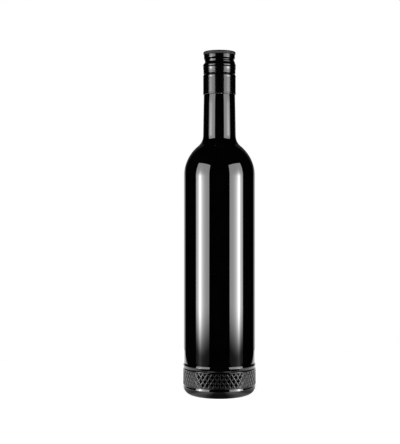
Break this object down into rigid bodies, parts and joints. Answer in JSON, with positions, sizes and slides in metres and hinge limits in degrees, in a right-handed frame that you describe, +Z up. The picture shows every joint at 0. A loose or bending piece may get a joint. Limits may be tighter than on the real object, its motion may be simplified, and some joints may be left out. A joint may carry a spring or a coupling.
{
  "type": "glass liquor bottle",
  "caption": "Tall round opaque black glass bottle with a straight body, round shoulder, slim neck, a relief band of diamonds at the foot and a long roll-on closure.",
  "frame": {"origin": "centre of the ring the bottle stands on, at table height", "axes": "+Z up along the bottle's axis, -Y is the front, +X to the right seen from the front"},
  "size_m": [0.0704, 0.0704, 0.3317],
  "materials": {
    "black_glass": "opaque black coating on glass, mirror-like high gloss",
    "black_metal": "thin spun aluminium with a black satin lacquer, rolled thread and a cut tear line"
  },
  "bodies": {
    "root": {"bottle": "black_glass", "closure": "black_metal"}
  },
  "joints": []
}
